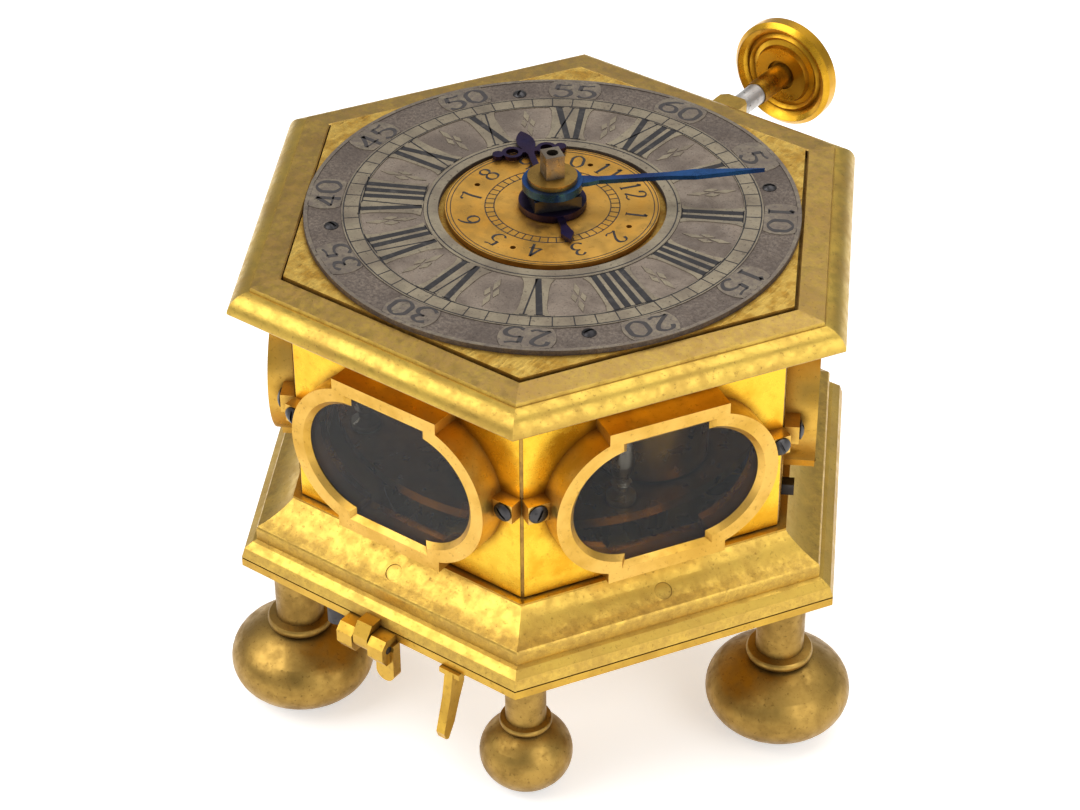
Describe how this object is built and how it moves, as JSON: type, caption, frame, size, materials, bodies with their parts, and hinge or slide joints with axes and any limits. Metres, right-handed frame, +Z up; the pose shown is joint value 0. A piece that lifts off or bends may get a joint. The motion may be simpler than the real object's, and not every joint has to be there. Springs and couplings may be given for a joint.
{
  "type": "table clock",
  "caption": "Hexagonal gilt table clock lying flat on turned ball feet, with an open dial, glazed sides, a hinged case, a repeat plunger and a geared verge movement",
  "frame": {"origin": "on the axis of the hands, at the level of the table under the feet", "axes": "+Z up, +Y towards figure XII and the plunger, +X towards figure III"},
  "size_m": [0.1349, 0.1472, 0.112],
  "materials": {
    "gilt_moulding": "satin, worn gilding",
    "gilt_panel": "satin gilt",
    "gilt_frame": "satin gilt",
    "gilt_foot": "worn gilt",
    "brass_plain": "polished",
    "silver_ring": "tarnished",
    "dark_steel": "oil-darkened",
    "pale_steel": "ground",
    "blued_steel": "blued",
    "window_glass": "clear",
    "bell_metal": "turned"
  },
  "bodies": {
    "stand": {"bottom_cover": "gilt_moulding", "large_feet": "gilt_foot", "small_feet": "gilt_foot", "foot_nuts": "dark_steel", "hinge_pin": "pale_steel", "cover_screws": "dark_steel"},
    "case": {"base_moulding": "gilt_moulding", "case_knuckle": "gilt_moulding", "base_plugs": "gilt_moulding", "corner_posts": "gilt_moulding", "panel_right": "gilt_panel", "panel_rear_right": "gilt_panel", "panel_rear": "gilt_panel", "panel_rear_left": "gilt_panel", "panel_front_left": "gilt_panel", "panel_front": "gilt_panel", "window_frame_right": "gilt_frame", "window_frame_rear_right": "gilt_frame", "window_frame_rear": "gilt_frame", "window_frame_rear_left": "gilt_frame", "window_frame_front_left": "gilt_frame", "window_frame_front": "gilt_frame", "window_panes": "window_glass", "frame_screws": "dark_steel", "top_moulding": "gilt_moulding", "dial_plate": "gilt_moulding", "chapter_ring": "silver_ring", "ring_screws": "dark_steel", "repeat_block": "pale_steel", "upper_plate": "brass_plain", "lower_plate": "brass_plain", "pillars": "pale_steel", "balance_cock": "brass_plain", "bell": "bell_metal", "bell_stud": "pale_steel", "fusee_chain": "pale_steel"},
    "hook": {"latch_hook": "gilt_moulding"},
    "alarm": {"alarm_disc": "gilt_moulding"},
    "hour": {"hour_hand": "blued_steel", "hour_block": "dark_steel", "hour_wheel": "brass_plain"},
    "minute": {"minute_hand": "blued_steel", "hand_collet": "brass_plain", "cannon_pinion": "pale_steel", "centre_arbor": "pale_steel", "centre_wheel": "brass_plain"},
    "motion": {"minute_wheel": "brass_plain"},
    "winding_fusee": {"fusee": "brass_plain"},
    "going_drum": {"going_barrel": "brass_plain"},
    "third": {"third_wheel": "brass_plain"},
    "contrate": {"contrate_wheel": "brass_plain"},
    "crown": {"crown_wheel": "brass_plain"},
    "swing": {"balance": "brass_plain"},
    "striking_drum": {"strike_barrel": "brass_plain"},
    "pin": {"pin_wheel": "brass_plain"},
    "whirl": {"fly": "pale_steel"},
    "striker": {"hammer": "pale_steel"},
    "plunger": {"repeat_rod": "pale_steel", "repeat_knob": "brass_plain"},
    "lifter": {"repeat_lever": "pale_steel"},
    "silencer": {"silent_lever": "dark_steel"}
  },
  "joints": [
    {"name": "case_lift", "type": "hinge", "parent": "stand", "child": "case", "pos_m": [-0.0004, -0.0594, 0.0342], "axis": [1, 0, 0], "range_deg": [0, 95]},
    {"name": "hook_turn", "type": "hinge", "parent": "stand", "child": "hook", "pos_m": [0.01825, -0.0512, 0.0342], "axis": [0, 0, 1], "range_deg": [-40, 40]},
    {"name": "alarm_set", "type": "hinge", "parent": "case", "child": "alarm", "pos_m": [0, 0, 0.0935], "axis": [0, 0, 1], "continuous": true},
    {"name": "minute_turn", "type": "hinge", "parent": "case", "child": "minute", "pos_m": [0, 0, 0.08], "axis": [0, 0, 1], "continuous": true},
    {"name": "hour_turn", "type": "hinge", "parent": "case", "child": "hour", "pos_m": [0, 0, 0.09], "axis": [0, 0, 1], "continuous": true},
    {"name": "motion_turn", "type": "hinge", "parent": "case", "child": "motion", "pos_m": [0.00605, -0.01048, 0.084], "axis": [0, 0, 1], "continuous": true},
    {"name": "fusee_turn", "type": "hinge", "parent": "case", "child": "winding_fusee", "pos_m": [-0.01654, -0.00602, 0.065], "axis": [0, 0, 1], "continuous": true},
    {"name": "barrel_turn", "type": "hinge", "parent": "case", "child": "going_drum", "pos_m": [0.00923, -0.02537, 0.066], "axis": [0, 0, 1], "continuous": true},
    {"name": "third_turn", "type": "hinge", "parent": "case", "child": "third", "pos_m": [-0.0025, 0.01416, 0.067], "axis": [0, 0, 1], "continuous": true},
    {"name": "contrate_turn", "type": "hinge", "parent": "case", "child": "contrate", "pos_m": [-0.01228, 0.01981, 0.065], "axis": [0, 0, 1], "continuous": true},
    {"name": "crown_turn", "type": "hinge", "parent": "case", "child": "crown", "pos_m": [-0.01228, 0.01981, 0.0647], "axis": [0.8192, 0.5736, 0], "continuous": true},
    {"name": "balance_swing", "type": "hinge", "parent": "case", "child": "swing", "pos_m": [0.00197, 0.02979, 0.054], "axis": [0, 0, 1], "range_deg": [-25, 25]},
    {"name": "strike_turn", "type": "hinge", "parent": "case", "child": "striking_drum", "pos_m": [0.02661, -0.00566, 0.066], "axis": [0, 0, 1], "continuous": true},
    {"name": "pin_turn", "type": "hinge", "parent": "case", "child": "pin", "pos_m": [0.02392, 0.00957, 0.077], "axis": [0, 0, 1], "continuous": true},
    {"name": "fly_turn", "type": "hinge", "parent": "case", "child": "whirl", "pos_m": [0.01897, 0.01814, 0.077], "axis": [0, 0, 1], "continuous": true},
    {"name": "hammer_swing", "type": "hinge", "parent": "case", "child": "striker", "pos_m": [0.01746, 0.03285, 0.057], "axis": [0, 0, 1], "range_deg": [0, 6], "stiffness_Nm_per_rad": 0.0005},
    {"name": "plunger_push", "type": "slide", "parent": "case", "child": "plunger", "axis": [0, -1, 0], "range_m": [0, 0.0065], "stiffness_N_per_m": 120},
    {"name": "lifter_turn", "type": "hinge", "parent": "case", "child": "lifter", "pos_m": [-0.014, 0.028, 0.0905], "axis": [0, 0, 1], "range_deg": [-33, 0]},
    {"name": "silence_turn", "type": "hinge", "parent": "case", "child": "silencer", "pos_m": [0.03883, -0.00125, 0.053], "axis": [0, 0, 1], "range_deg": [-5, 5]}
  ],
  "couplings": [
    {"joint": "motion_turn", "follows": "minute_turn", "ratio": -0.33333},
    {"joint": "hour_turn", "follows": "minute_turn", "ratio": 0.083333},
    {"joint": "fusee_turn", "follows": "minute_turn", "ratio": -0.16667},
    {"joint": "barrel_turn", "follows": "minute_turn", "ratio": -0.098508},
    {"joint": "third_turn", "follows": "minute_turn", "ratio": -7.5},
    {"joint": "contrate_turn", "follows": "minute_turn", "ratio": 45},
    {"joint": "crown_turn", "follows": "minute_turn", "ratio": 270},
    {"joint": "pin_turn", "follows": "strike_turn", "ratio": -5},
    {"joint": "fly_turn", "follows": "strike_turn", "ratio": 30},
    {"joint": "lifter_turn", "follows": "plunger_push", "rad_per_m": -85.924}
  ]
}
